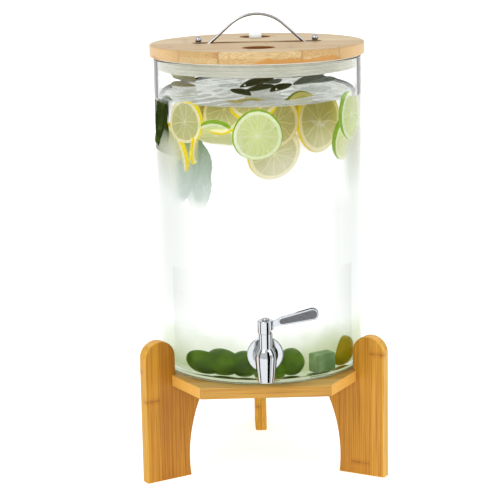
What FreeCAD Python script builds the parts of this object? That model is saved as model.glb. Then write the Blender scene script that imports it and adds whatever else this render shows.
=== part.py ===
import FreeCAD, Part
import os
import Sketcher
from FreeCAD import Placement, Rotation, Vector

# Countertop drink dispenser: a glass jar with a lever tap stands on a three-legged bamboo stand
# and is closed by a bamboo lid with a folding wire handle and a vent stopper.
# Millimetres, +Z up, +Y away from the user. The origin is on the floor under the jar's axis.

doc = FreeCAD.newDocument("DrinkDispenser")

# ---------------------------------------------------------------- driving dimensions

dims = doc.addObject("Spreadsheet::Sheet", "dims")
DIMENSIONS = [
    # stand
    ("board_top", 105), ("board_thick", 11), ("board_apothem", 106), ("board_corner", 3),
    ("leg_thick", 12), ("leg_reach", 135), ("leg_height", 140), ("post_inner", 102),
    ("foot_inner", 88), ("foot_bow", 139), ("foot_bow_height", 18), ("leg_edge", 1.6),
    ("screw_radius", 2), ("screw_head", 4), ("screw_head_depth", 2.6), ("screw_length", 32),
    ("screw_point", 0.2), ("screw_taper", 8),
    ("stand_screw_inner", 78), ("stand_screw_outer", 93),
    # jar
    ("jar_radius", 100), ("jar_wall", 3), ("jar_base", 4), ("jar_height", 301), ("jar_edge", 4),
    ("jar_foot", 84), ("jar_hollow", 0.8),
    # tap, measured from the crossing of the valve axis and the pipe axis
    ("tap_height", 136.5), ("tap_reach", 25), ("tap_hole", 8.6), ("shank_radius", 8),
    ("shank_end", 47), ("collar_radius", 12), ("collar_start", 19), ("spout_radius", 10),
    ("nozzle_radius", 8), ("nozzle_drop", 20.5), ("nozzle_edge", 0.8), ("elbow_height", 1.5),
    ("swell_centre", 12), ("pipe_radius", 8.8), ("collar_taper", 11),
    ("outlet_radius", 6), ("outlet_depth", 8), ("throat_radius", 3.8),
    ("barrel_radius", 6.4), ("barrel_bottom", 12), ("barrel_top", 25.7), ("inlet_radius", 4.4),
    ("chamber_radius", 5.05), ("chamber_floor", 9), ("running_gap", 0.05),
    ("flange_radius", 17), ("flange_thick", 2.5), ("gasket_radius", 15), ("gasket_thick", 3.5),
    ("washer_radius", 14), ("washer_thick", 1.5), ("nut_flats", 24), ("nut_thick", 6),
    ("port_radius", 3.2), ("seal_groove", 3.2), ("seal_wire", 0.85), ("seal_low", 10),
    ("seal_high", 19), ("stem_radius", 3), ("stem_top", 34),
    # lever
    ("cap_radius", 7.35), ("cap_bottom", 26.2), ("cap_top", 38), ("cap_edge", 0.8),
    ("notch_top", 29.4), ("notch_half_turn", 57), ("stop_half", 0.8), ("stop_tall", 2.6),
    ("hub_depth", 4), ("neck_start", 4), ("neck_rise", 4.6), ("neck_knee", 9.5),
    ("neck_knee_rise", 5.6), ("neck_brow", 8.5), ("neck_brow_drop", 0.6), ("blade_thick", 4.6), ("blade_root_x", 15.4),
    ("blade_root_z", 37), ("blade_root_radius", 3.9), ("blade_tip_x", 43.5),
    ("blade_tip_z", 43), ("blade_tip_radius", 5.5), ("blade_rim", 1.3), ("inlay_depth", 0.7),
    ("dome_radius", 3.4), ("dome_rise", 2), ("dome_round", 1.2), ("dome_slot", 0.9),
    ("thread_radius", 1.5), ("thread_reach", 5.5),
    # lid
    ("lid_radius", 103.3), ("lid_thick", 11.5), ("lid_edge", 1.3), ("rim_seat", 1),
    ("plug_radius", 91), ("plug_depth", 14), ("lid_screw_reach", 80), ("seal_inner", 94.2),
    ("seal_lip", 96.7), ("seal_flange", 99.5), ("lip_first", 3), ("lip_pitch", 3.5),
    ("lip_under", 1.3), ("lip_over", 0.9), ("channel_length", 125), ("channel_width", 16), ("channel_depth", 5.5),
    ("recess_radius", 15.7), ("recess_offset", 59), ("recess_depth", 5),
    # handle, measured from its hinge axis
    ("hinge_depth", 2.2), ("wire_radius", 1.4), ("bail_foot", 47.1), ("bail_lean", 41.5),
    ("bail_arch", 38), ("bail_bend", 8), ("pin_end", 60), ("post_offset", 56),
    ("post_radius", 2.7), ("ball_radius", 3.25), ("ball_rise", 2.9), ("stud_radius", 1.5),
    ("stud_depth", 12),
    # vent stopper
    ("vent_hole", 4.5), ("vent_stem", 4.2), ("vent_width", 12.2), ("vent_tab", 3),
    ("vent_tab_reach", 13), ("vent_stem_depth", 10), ("fit_gap", 0.3),
]
for row, (alias, size) in enumerate(DIMENSIONS, start=1):
    dims.set("A%d" % row, alias)
    dims.set("B%d" % row, str(size))
    dims.setAlias("B%d" % row, alias)
doc.recompute()

# ---------------------------------------------------------------- modelling helpers
# A cutting shape runs 1 or 2 mm past the face it opens, so that no skin is left.


def number(expression):
    """The value of an expression of the sheet's dimensions."""
    return float(dims.evalExpression(str(expression)))


def bind(thing, **expressions):
    for prop, expression in expressions.items():
        thing.setExpression(prop, str(expression))


def place(thing, x="0", y="0", z="0", axis=(0, 0, 1), turn=0):
    thing.Placement = Placement(Vector(0, 0, 0), Rotation(Vector(*axis), turn))
    for name, expression in (("x", x), ("y", y), ("z", z)):
        thing.setExpression("Placement.Base." + name, str(expression))
    return thing


ALONG = {"z": ((0, 0, 1), 0), "y": ((1, 0, 0), -90), "-y": ((1, 0, 0), 90), "x": ((0, 1, 0), 90),
         "-x": ((0, 1, 0), -90)}


def cylinder(radius, height, x="0", y="0", z="0", along="z"):
    rod = doc.addObject("Part::Cylinder", "Cylinder")
    bind(rod, Radius=radius, Height=height)
    axis, turn = ALONG[along]
    return place(rod, x, y, z, axis, turn)


def cone(radius_start, radius_end, height, x="0", y="0", z="0", along="z"):
    taper = doc.addObject("Part::Cone", "Cone")
    bind(taper, Radius1=radius_start, Radius2=radius_end, Height=height)
    axis, turn = ALONG[along]
    return place(taper, x, y, z, axis, turn)


def box(length, width, height, x="0", y="0", z="0"):
    """A box centred on x and y, standing on z."""
    block = doc.addObject("Part::Box", "Box")
    bind(block, Length=length, Width=width, Height=height)
    return place(block, "%s - (%s)/2" % (x, length), "%s - (%s)/2" % (y, width), z)


def ball(radius, x="0", y="0", z="0"):
    sphere = doc.addObject("Part::Sphere", "Sphere")
    bind(sphere, Radius=radius)
    return place(sphere, x, y, z)


def ring(radius, wire, z):
    torus = doc.addObject("Part::Torus", "Torus")
    bind(torus, Radius1=radius, Radius2=wire)
    return place(torus, z=z)


def fuse(*shapes):
    joined = doc.addObject("Part::MultiFuse", "Fuse")
    joined.Shapes = list(shapes)
    return joined


def cut(base, *tools):
    result = doc.addObject("Part::Cut", "Cut")
    result.Base = base
    result.Tool = tools[0] if len(tools) == 1 else fuse(*tools)
    return result


def common(*shapes):
    overlap = doc.addObject("Part::MultiCommon", "Common")
    overlap.Shapes = list(shapes)
    return overlap


def group(*shapes):
    """Separate solids kept in one sub-part, such as a set of equal screws."""
    compound = doc.addObject("Part::Compound", "Group")
    compound.Links = list(shapes)
    return compound


def rounded(base, radius, wanted):
    """Round the edges of base for which wanted(edge) is true."""
    doc.recompute()
    fillet = doc.addObject("Part::Fillet", "Fillet")
    fillet.Base = base
    size = number(radius)
    fillet.Edges = [(i, size, size) for i, edge in enumerate(base.Shape.Edges, start=1) if wanted(edge)]
    return fillet


def at_height(z):
    """Picks the round edges that lie flat at one height."""
    level = number(z)

    def wanted(edge):
        bounds = edge.BoundBox
        return abs(bounds.ZMin - level) < 1e-4 and abs(bounds.ZMax - level) < 1e-4
    return wanted


def origin_plane(body, role):
    return next(f for f in body.Origin.OriginFeatures if f.Role == role)


def outline(body, role, corners, arcs=None, closed=True):
    """A sketch through corners, each one held at its place by two bound dimensions.

    arcs maps a side's number to (centre axis, centre expression, a point on the arc).
    """
    arcs = arcs or {}
    sketch = body.newObject("Sketcher::SketchObject", "Sketch")
    sketch.AttachmentSupport = (origin_plane(body, role), "")
    sketch.MapMode = "FlatFace"
    points = [Vector(number(a), number(b), 0) for a, b in corners]
    sides = len(points) if closed else len(points) - 1
    ends = {}
    for side in range(sides):
        start, end = points[side], points[(side + 1) % len(points)]
        if side in arcs:
            middle = Vector(number(arcs[side][2][0]), number(arcs[side][2][1]), 0)
            curve = Part.Arc(start, middle, end)
            sketch.addGeometry(Part.ArcOfCircle(curve.toShape().Curve, *curve.toShape().ParameterRange))
            first = sketch.getPoint(side, 1).distanceToPoint(start) < 1e-6
            ends[side] = (1, 2) if first else (2, 1)
        else:
            sketch.addGeometry(Part.LineSegment(start, end))
            ends[side] = (1, 2)
    for side in range(sides - (0 if closed else 1)):
        after = (side + 1) % sides
        sketch.addConstraint(Sketcher.Constraint("Coincident", side, ends[side][1], after, ends[after][0]))
    for corner, (a, b) in enumerate(corners):
        side, end = (corner, 0) if corner < sides else (corner - 1, 1)
        for kind, expression in (("DistanceX", a), ("DistanceY", b)):
            fix(sketch, kind, side, ends[side][end], expression)
    for side, (axis, expression, _) in arcs.items():
        fix(sketch, "Distance" + axis.upper(), side, 3, expression)
    return sketch


def fix(sketch, kind, side, point, expression):
    """Hold one coordinate of a sketch point at an expression of the sheet."""
    index = sketch.addConstraint(Sketcher.Constraint(kind, -1, 1, side, point, number(expression)))
    sketch.setExpression("Constraints[%d]" % index, str(expression))


def body_of(build):
    body = doc.addObject("PartDesign::Body", "Body")
    build(body)
    return body


def turned(corners, arcs=None):
    """A solid of revolution about Z from an outline of (radius, height) corners."""
    def build(body):
        revolution = body.newObject("PartDesign::Revolution", "Revolution")
        revolution.Profile = outline(body, "XZ_Plane", corners, arcs)
        revolution.ReferenceAxis = (origin_plane(body, "Z_Axis"), [""])
        revolution.Angle = 360
    return body_of(build)


def plate(role, corners, thickness, arcs=None, middle=True):
    """A flat piece padded from an outline, evenly to both sides of its plane or to one side."""
    def build(body):
        pad = body.newObject("PartDesign::Pad", "Pad")
        pad.Profile = outline(body, role, corners, arcs)
        pad.SideType = "Symmetric" if middle else "One side"
        bind(pad, Length=thickness)
    return body_of(build)


SUBPARTS = {}


def keep(name, shape):
    """Name a finished sub-part: its label is its node and its file."""
    shape.Label = name
    SUBPARTS[name] = shape
    return shape


# ---------------------------------------------------------------- stand

LEG_TURNS = {"left": -150, "right": -30, "rear": 90}
board_bottom = "(dims.board_top - dims.board_thick)"


def screw(length, x="0", y="0", z="0", upward=False):
    """A countersunk wood screw, its head flush at z and its point inwards."""
    along = "z" if upward else "-z"
    step = {"z": "+", "-z": "-"}[along]
    shank_length = "%s - dims.screw_taper" % length
    head = cone("dims.screw_head", "dims.screw_radius", "dims.screw_head_depth", x, y, z)
    shank = cylinder("dims.screw_radius", shank_length, x, y, z)
    tip = cone("dims.screw_radius", "dims.screw_point", "dims.screw_taper", x, y,
               "%s %s (%s)" % (z, step, shank_length))
    if not upward:
        for piece in (head, shank, tip):
            piece.Placement = Placement(piece.Placement.Base, Rotation(Vector(1, 0, 0), 180))
    return fuse(head, shank, tip)


def stand_screw_spots():
    for turn in LEG_TURNS.values():
        for reach in ("dims.stand_screw_inner", "dims.stand_screw_outer"):
            yield "%s*cos(%d)" % (reach, turn), "%s*sin(%d)" % (reach, turn)


def stand_screws():
    return [screw("dims.screw_length", x, y, "dims.board_top") for x, y in stand_screw_spots()]


def make_board():
    side = "dims.board_apothem/cos(30)"
    corners = [("%s*cos(%d)" % (side, turn), "%s*sin(%d)" % (side, turn)) for turn in range(0, 360, 60)]
    blank = plate("XY_Plane", corners, "dims.board_thick", middle=False)
    place(blank, z=board_bottom)
    softened = rounded(blank, "dims.board_corner", lambda e: abs(e.BoundBox.ZLength) > 1)
    softened = rounded(softened, "dims.leg_edge/2", lambda e: e.BoundBox.ZLength < 1e-4)
    notches = []
    for turn in LEG_TURNS.values():
        depth = "(dims.board_apothem - dims.post_inner + 2)"
        notch = doc.addObject("Part::Box", "Notch")
        bind(notch, Length=depth, Width="dims.leg_thick", Height="dims.board_thick + 2")
        place(notch, z=board_bottom + " - 1", turn=turn,
              x="dims.post_inner*cos({0}) + dims.leg_thick/2*sin({0})".format(turn),
              y="dims.post_inner*sin({0}) - dims.leg_thick/2*cos({0})".format(turn))
        notches.append(notch)
    keep("stand_board", cut(softened, *notches, *stand_screws()))


def make_leg(side, turn):
    """A plank on edge: its post rises past the board and its shoulder carries the board."""
    bow_centre = "(dims.foot_inner - dims.foot_bow)"
    crown = "(dims.leg_reach - dims.post_inner)/2"
    spring = "(dims.leg_height - %s)" % crown
    bow_at_floor = "%s + sqrt(dims.foot_bow^2 - dims.foot_bow_height^2)" % bow_centre
    bow_at_board = "%s + sqrt(dims.foot_bow^2 - (%s - dims.foot_bow_height)^2)" % (bow_centre, board_bottom)
    corners = [(bow_at_floor, "0"), ("dims.leg_reach", "0"), ("dims.leg_reach", spring),
               ("dims.post_inner", spring), ("dims.post_inner", board_bottom),
               (bow_at_board, board_bottom)]
    arcs = {
        2: ("y", spring, ("dims.leg_reach - %s" % crown, "dims.leg_height")),
        5: ("y", "dims.foot_bow_height", ("dims.foot_inner", "dims.foot_bow_height")),
    }
    plank = plate("XZ_Plane", corners, "dims.leg_thick", arcs)
    shoulder = number(board_bottom)
    post = number("dims.post_inner")
    half = number("dims.leg_thick")/2

    def worn(edge):
        bounds = edge.BoundBox
        on_face = bounds.YLength < 1e-4 and abs(abs(bounds.YMin) - half) < 1e-4
        seat = abs(bounds.ZMin - shoulder) < 1e-4 and bounds.ZLength < 1e-4
        inside = abs(bounds.XMax - post) < 1e-4 and bounds.XLength < 1e-4
        return on_face and not seat and not inside
    softened = rounded(plank, "dims.leg_edge", worn)
    place(softened, turn=turn)
    keep("stand_leg_" + side, cut(softened, *stand_screws()))


make_board()
for leg_side, leg_turn in LEG_TURNS.items():
    make_leg(leg_side, leg_turn)
keep("stand_screws", group(*stand_screws()))

# ---------------------------------------------------------------- jar

jar_inner = "(dims.jar_radius - dims.jar_wall)"
tap_axis_y = "(-dims.jar_radius - dims.tap_reach)"


def make_jar():
    # The jar stands on the outer ring of its base. Inside that ring the underside is hollow.
    glass = turned([("0", "dims.jar_hollow"), ("dims.jar_foot", "dims.jar_hollow"),
                    ("dims.jar_foot + 2*dims.jar_hollow", "0"), ("dims.jar_radius", "0"),
                    ("dims.jar_radius", "dims.jar_height"), (jar_inner, "dims.jar_height"),
                    (jar_inner, "dims.jar_base"), ("0", "dims.jar_base")])
    widest_foot = number(jar_inner) - 1

    def floor_corner(edge):
        level = at_height("0")(edge) or at_height("dims.jar_base")(edge)
        return level and edge.Curve.Radius > widest_foot
    softened = rounded(glass, "dims.jar_edge", floor_corner)
    softened = rounded(softened, "dims.jar_wall*0.45", at_height("dims.jar_height"))
    place(softened, z="dims.board_top")
    hole = cylinder("dims.tap_hole", "4*dims.jar_wall", y="-dims.jar_radius - dims.jar_wall",
                    z="dims.tap_height", along="y")
    keep("glass_jar", cut(softened, hole))


make_jar()

# ---------------------------------------------------------------- tap


def on_tap(name, shape):
    """Tap pieces are drawn about the crossing of the valve and pipe axes, then put in place."""
    doc.recompute()
    place(shape, y=tap_axis_y, z="dims.tap_height")
    return keep(name, shape)


def washer_shape(radius, bore, thickness, start):
    return cut(cylinder(radius, thickness, y=start, along="y"),
               cylinder(bore, "%s + 2" % thickness, y="%s - 1" % start, along="y"))


def make_tap_body():
    # The spout swells from the nozzle to the elbow and domes over to the valve barrel.
    dome_hint = ("dims.barrel_radius + 2.2", "dims.barrel_bottom - 4.2")
    swell_hint = ("(dims.nozzle_radius + dims.spout_radius)/2 + 0.35", "-dims.nozzle_drop/2")
    shell = turned(
        [("0", "-dims.nozzle_drop"), ("dims.nozzle_radius - dims.nozzle_edge", "-dims.nozzle_drop"),
         ("dims.nozzle_radius", "-dims.nozzle_drop + dims.nozzle_edge"),
         ("dims.spout_radius", "dims.elbow_height"),
         ("dims.barrel_radius", "dims.barrel_bottom"), ("dims.barrel_radius", "dims.barrel_top"),
         ("0", "dims.barrel_top")],
        {2: ("y", "dims.swell_centre", swell_hint), 3: ("y", "dims.elbow_height", dome_hint)})
    collar = cone("dims.collar_radius", "dims.pipe_radius", "dims.collar_taper",
                  y="dims.collar_start", along="-y")
    pipe = cylinder("dims.pipe_radius", "dims.collar_start - 6", along="y")
    shank = cylinder("dims.shank_radius", "dims.shank_end", along="y")
    # The lever's stop stands on the barrel's rim, a little way into it.
    stop = box("2*dims.stop_half", "dims.barrel_radius - dims.chamber_radius", "dims.stop_tall",
               y="-(dims.barrel_radius + dims.chamber_radius)/2", z="dims.barrel_top - 0.1")
    stop_arm = group(stop)
    place(stop_arm, turn=45)
    inlet = cylinder("dims.inlet_radius", "dims.shank_end + 2", along="y")
    chamber = cylinder("dims.chamber_radius", "dims.chamber_floor + dims.barrel_top + 1",
                       z="-dims.chamber_floor")
    throat = cylinder("dims.throat_radius", "dims.nozzle_drop + 1", z="-dims.nozzle_drop - 1")
    outlet = cylinder("dims.outlet_radius", "dims.outlet_depth + 1", z="-dims.nozzle_drop - 1")
    casting = cut(fuse(shell, collar, pipe, shank), inlet, chamber, throat, outlet)
    on_tap("tap_body", fuse(casting, stop_arm))


def make_tap_fixings():
    flange_start = "dims.tap_reach - dims.gasket_thick - dims.flange_thick"
    flange = washer_shape("dims.flange_radius", "dims.shank_radius", "dims.flange_thick", flange_start)
    front = number(flange_start)
    rim = number("dims.flange_radius")
    on_tap("tap_flange", rounded(flange, "dims.flange_thick*0.4", lambda e: abs(
        e.BoundBox.YMin - front) < 1e-4 and e.BoundBox.YLength < 1e-4 and e.Curve.Radius > rim - 1))

    # The two gaskets take up the curve of the glass: each has one face bent to the jar.
    outer = washer_shape("dims.gasket_radius", "dims.tap_hole", "dims.gasket_thick + 3",
                         "dims.tap_reach - dims.gasket_thick")
    glass_outside = cylinder("dims.jar_radius", "60", y="-" + tap_axis_y, z="-30")
    on_tap("tap_gasket_outer", cut(outer, glass_outside))
    inner = washer_shape("dims.gasket_radius", "dims.tap_hole", "dims.gasket_thick + 3",
                         "dims.tap_reach + dims.jar_wall - 3")
    glass_inside = cylinder(jar_inner, "60", y="-" + tap_axis_y, z="-30")
    on_tap("tap_gasket_inner", common(inner, glass_inside))

    washer_start = "dims.tap_reach + dims.jar_wall + dims.gasket_thick"
    on_tap("tap_washer", washer_shape("dims.washer_radius", "dims.shank_radius + 0.3",
                                      "dims.washer_thick", washer_start))
    nut_start = washer_start + " + dims.washer_thick"
    flats = []
    for turn in (0, 60, 120):
        slab = box("dims.nut_flats", "dims.nut_thick", "dims.nut_flats*2",
                   y="%s + dims.nut_thick/2" % nut_start, z="-dims.nut_flats")
        pair = group(slab)
        place(pair, axis=(0, 1, 0), turn=turn)
        flats.append(pair)
    dulled = cylinder("dims.nut_flats*0.56", "dims.nut_thick", y=nut_start, along="y")
    bore = cylinder("dims.shank_radius", "dims.nut_thick + 2", y=nut_start + " - 1", along="y")
    on_tap("tap_nut", cut(common(dulled, *flats), bore))


def make_valve():
    plug_radius = "dims.chamber_radius - dims.running_gap"
    core = cylinder(plug_radius, "dims.chamber_floor + dims.barrel_top - 0.1", z="-dims.chamber_floor + 0.05")
    stem = cylinder("dims.stem_radius", "dims.stem_top", z="0")
    grooves = []
    seals = []
    for level in ("dims.seal_low", "dims.seal_high"):
        height = "(2*dims.seal_wire + 0.3)"
        start = "%s - %s/2" % (level, height)
        grooves.append(cut(cylinder("dims.chamber_radius + 1", height, z=start),
                           cylinder("dims.seal_groove", height, z=start)))
        seals.append(ring("dims.chamber_radius - dims.running_gap - dims.seal_wire", "dims.seal_wire", level))
    # Closed, the port looks to -X. A quarter turn of the lever brings it round to the jar.
    port = cylinder("dims.port_radius", "dims.chamber_radius + 1", along="-x")
    outlet = cylinder("dims.port_radius", "dims.chamber_floor + 2", z="-dims.chamber_floor - 1")
    pocket = ball("dims.port_radius")
    screw_hole = cylinder("dims.thread_radius", "dims.thread_reach + 3",
                          z="dims.stem_top - dims.thread_reach - 1.5")
    on_tap("valve_plug", cut(fuse(core, stem), *grooves, port, outlet, pocket, screw_hole))
    on_tap("valve_seals", group(*seals))


def blade(inset, thickness, y="0"):
    """The lever's pill-shaped blade, wider at its tip, drawn inset from its outline."""
    def build(body):
        sketch = body.newObject("Sketcher::SketchObject", "Sketch")
        sketch.AttachmentSupport = (origin_plane(body, "XZ_Plane"), "")
        sketch.MapMode = "FlatFace"
        root = Vector(number("dims.blade_root_x"), number("dims.blade_root_z"), 0)
        tip = Vector(number("dims.blade_tip_x"), number("dims.blade_tip_z"), 0)
        small = number("dims.blade_root_radius - %s" % inset)
        large = number("dims.blade_tip_radius - %s" % inset)
        lean = (tip - root).normalize()
        up = Vector(-lean.y, lean.x, 0)
        sketch.addGeometry(Part.LineSegment(root + up*small, tip + up*large))
        sketch.addGeometry(Part.LineSegment(root - up*small, tip - up*large))
        for centre, radius, outward in ((root, small, -lean), (tip, large, lean)):
            half_round = Part.Arc(centre + up*radius, centre + outward*radius, centre - up*radius).toShape()
            sketch.addGeometry(Part.ArcOfCircle(half_round.Curve, *half_round.ParameterRange))
        for line, line_end, arc in ((0, 1, 2), (1, 1, 2), (0, 2, 3), (1, 2, 3)):
            spot = sketch.getPoint(line, line_end)
            arc_end = min((1, 2), key=lambda end: sketch.getPoint(arc, end).distanceToPoint(spot))
            sketch.addConstraint(Sketcher.Constraint("Tangent", line, line_end, arc, arc_end))
        for arc, where, radius in ((2, "root", "dims.blade_root_radius"), (3, "tip", "dims.blade_tip_radius")):
            fix(sketch, "DistanceX", arc, 3, "dims.blade_%s_x" % where)
            fix(sketch, "DistanceY", arc, 3, "dims.blade_%s_z" % where)
            size = "%s - %s" % (radius, inset)
            index = sketch.addConstraint(Sketcher.Constraint("Radius", arc, number(size)))
            sketch.setExpression("Constraints[%d]" % index, size)
        pad = body.newObject("PartDesign::Pad", "Pad")
        pad.Profile = sketch
        pad.SideType = "Symmetric"
        bind(pad, Length=thickness)
    return place(body_of(build), y=y)


def make_lever():
    cap = cylinder("dims.cap_radius", "dims.cap_top - dims.cap_bottom", z="dims.cap_bottom")
    cap = rounded(cap, "dims.cap_edge", at_height("dims.cap_top"))
    brow = "dims.cap_top - dims.neck_brow_drop"
    neck = plate("XZ_Plane", [
        ("dims.neck_start", "dims.cap_bottom + dims.neck_rise"),
        ("dims.neck_knee", "dims.cap_bottom + dims.neck_knee_rise"),
        ("dims.blade_root_x", "dims.blade_root_z - dims.blade_root_radius + 0.1"),
        ("dims.blade_root_x", "dims.blade_root_z + dims.blade_root_radius - 0.1"),
        ("dims.neck_brow", brow), ("dims.neck_start", brow)], "dims.blade_thick*0.9")
    paddle = rounded(blade("0", "dims.blade_thick"), "0.7", lambda e: e.BoundBox.YLength < 1e-4)
    face = "dims.blade_thick/2"
    recesses = [blade("dims.blade_rim", "2*dims.inlay_depth", y=side + face) for side in ("", "-")]
    notch = doc.addObject("Part::Cylinder", "Notch")
    bind(notch, Radius="dims.cap_radius + 1", Height="dims.notch_top - dims.cap_bottom + 1",
         Angle="2*dims.notch_half_turn")
    place(notch, z="dims.cap_bottom - 1", turn=-number("dims.notch_half_turn"))
    # The cap's hub reaches down onto the plug. The notch runs round it from stop to stop.
    hub = cylinder("dims.chamber_radius - 0.2", "dims.hub_depth + 2", z="dims.cap_bottom - 2")
    socket = cylinder("dims.stem_radius", "dims.stem_top - dims.cap_bottom + 1", z="dims.cap_bottom - 1")
    screw_hole = cylinder("dims.thread_radius", "dims.cap_top - dims.stem_top + 6",
                          z="dims.stem_top - 2")
    lever = cut(fuse(cap, neck, paddle), cut(notch, hub), socket, screw_hole, *recesses)
    on_tap("tap_lever", lever)
    pad_middle = "(%s - dims.inlay_depth/2)" % face
    on_tap("tap_lever_inlays", group(*[
        blade("dims.blade_rim", "dims.inlay_depth", y=side + pad_middle) for side in ("", "-")]))

    head_top = "dims.cap_top + dims.dome_rise"
    head = cylinder("dims.dome_radius", "dims.dome_rise", z="dims.cap_top")
    head = rounded(head, "dims.dome_round", at_height(head_top))
    slot = box("2*dims.dome_radius + 2", "dims.dome_slot", "dims.dome_slot + 1",
               z=head_top + " - dims.dome_slot")
    thread = cylinder("dims.thread_radius", "dims.cap_top - dims.stem_top + dims.thread_reach",
                      z="dims.stem_top - dims.thread_reach")
    on_tap("lever_screw", cut(fuse(head, thread), slot))


make_tap_body()
make_tap_fixings()
make_valve()
make_lever()

# ---------------------------------------------------------------- lid

rim = "(dims.board_top + dims.jar_height)"
lid_bottom = "(%s + dims.rim_seat)" % rim
lid_top = "(%s + dims.lid_thick)" % lid_bottom
plug_bottom = "(%s - dims.plug_depth)" % lid_bottom
channel_floor = "(%s - dims.channel_depth)" % lid_top
recess_floor = "(%s - dims.recess_depth)" % lid_top
POST_SIDES = {"left": "-", "right": ""}


def lid_screw_spots():
    for turn in (45, 135, 225, 315):
        yield "dims.lid_screw_reach*cos(%d)" % turn, "dims.lid_screw_reach*sin(%d)" % turn


def lid_screws():
    return [screw("dims.plug_depth + 6", x, y, plug_bottom, upward=True) for x, y in lid_screw_spots()]


def studs():
    return [cylinder("dims.stud_radius", "dims.stud_depth", x=side + "dims.post_offset",
                     z=channel_floor + " - dims.stud_depth") for side in POST_SIDES.values()]


def make_lid_board():
    disc = cylinder("dims.lid_radius", "dims.lid_thick", z=lid_bottom)
    disc = rounded(disc, "dims.lid_edge", lambda e: e.BoundBox.ZLength < 1e-4)
    deep = "dims.channel_depth + 1"
    straight = "(dims.channel_length - dims.channel_width)"
    channel = [box(straight, "dims.channel_width", deep, z=channel_floor)]
    for side in POST_SIDES.values():
        channel.append(cylinder("dims.channel_width/2", deep, x="%s%s/2" % (side, straight),
                                z=channel_floor))
    recesses = [cylinder("dims.recess_radius", "dims.recess_depth + 1", y=side + "dims.recess_offset",
                         z=recess_floor) for side in ("-", "")]
    vent = cylinder("dims.vent_hole", "2*dims.lid_thick", y="dims.recess_offset",
                    z="%s - dims.lid_thick" % lid_bottom)
    keep("lid_board", cut(disc, *channel, *recesses, vent, *studs(), *lid_screws()))


def make_lid_plug():
    disc = cylinder("dims.plug_radius", "dims.plug_depth", z=plug_bottom)
    disc = rounded(disc, "dims.lid_edge", at_height(plug_bottom))
    vent = cylinder("dims.vent_hole", "dims.plug_depth + 2", y="dims.recess_offset",
                    z=plug_bottom + " - 1")
    keep("lid_plug", cut(disc, vent, *studs(), *lid_screws()))


def make_lid_seal():
    # A soft ring round the plug: three lips wipe the glass and a flange rests on the rim.
    start = "%s + 1" % plug_bottom
    corners = [("dims.plug_radius", start), ("dims.seal_inner", start)]
    for lip in range(3):
        middle = "%s + dims.lip_first + %d*dims.lip_pitch" % (plug_bottom, lip)
        corners.append(("dims.seal_inner", middle + " - dims.lip_under"))
        corners.append(("dims.seal_lip", middle))
        corners.append(("dims.seal_inner", middle + " + dims.lip_over"))
    corners += [("dims.seal_inner", rim), ("dims.seal_flange", rim), ("dims.seal_flange", lid_bottom),
                ("dims.plug_radius", lid_bottom)]
    keep("lid_seal", turned(corners))


def make_handle():
    hinge_height = "(%s - dims.hinge_depth)" % lid_top
    lean = "dims.bail_lean"
    bend_run = "(dims.bail_bend*tan(%s/2))" % lean
    arch_half = "(dims.bail_arch*sin(%s))" % lean
    arch_centre = "((dims.bail_foot - {0})*tan({1}) - dims.bail_arch*cos({1}))".format(arch_half, lean)
    arch_end = "((dims.bail_foot - %s)*tan(%s))" % (arch_half, lean)
    bend_x = "(dims.bail_foot - {0}*cos({1}))".format(bend_run, lean)
    bend_z = "(%s*sin(%s))" % (bend_run, lean)
    right = [(arch_half, arch_end), (bend_x, bend_z), ("dims.bail_foot + " + bend_run, "0"),
             ("dims.pin_end", "0")]
    left = [("-(%s)" % x, z) for x, z in reversed(right)]
    bend_hint_x = "(dims.bail_foot + %s - dims.bail_bend*sin(%s/2))" % (bend_run, lean)
    bend_hint_z = "dims.bail_bend*(1 - cos(%s/2))" % lean
    arcs = {
        1: ("y", "dims.bail_bend", ("-" + bend_hint_x, bend_hint_z)),
        3: ("y", arch_centre, ("0", "%s + dims.bail_arch" % arch_centre)),
        5: ("y", "dims.bail_bend", (bend_hint_x, bend_hint_z)),
    }

    def build(body):
        path = outline(body, "XZ_Plane", left + right, arcs, closed=False)
        section = body.newObject("Sketcher::SketchObject", "Section")
        section.AttachmentSupport = (origin_plane(body, "YZ_Plane"), "")
        section.MapMode = "FlatFace"
        section.setExpression("AttachmentOffset.Base.z", "-dims.pin_end")
        section.addGeometry(Part.Circle(Vector(0, 0, 0), Vector(0, 0, 1), number("dims.wire_radius")))
        section.addConstraint(Sketcher.Constraint("Coincident", 0, 3, -1, 1))
        size = section.addConstraint(Sketcher.Constraint("Radius", 0, number("dims.wire_radius")))
        section.setExpression("Constraints[%d]" % size, "dims.wire_radius")
        pipe = body.newObject("PartDesign::AdditivePipe", "Pipe")
        pipe.Profile = section
        pipe.Spine = (path, ["Edge%d" % (i + 1) for i in range(7)])
        doc.recompute()
        route = sum(edge.Length for edge in path.Shape.Edges)
        solid = route*3.14159265*number("dims.wire_radius")**2
        if abs(pipe.Shape.Volume/solid - 1) > 0.01:
            raise RuntimeError("the handle's wire doesn't follow its path")
    keep("lid_handle", place(body_of(build), z=hinge_height))

    for side, sign in POST_SIDES.items():
        x = sign + "dims.post_offset"
        head = ball("dims.ball_radius", x=x, z="%s + dims.ball_rise" % lid_top)
        column = cylinder("dims.post_radius", "dims.channel_depth + dims.ball_rise", x=x, z=channel_floor)
        stud = cylinder("dims.stud_radius", "dims.stud_depth + 1", x=x, z=channel_floor + " - dims.stud_depth")
        eye = cylinder("dims.wire_radius + dims.running_gap", "20", x=x + " - 10", z=hinge_height, along="x")
        keep("handle_post_" + side, cut(fuse(head, column, stud), eye))


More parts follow.
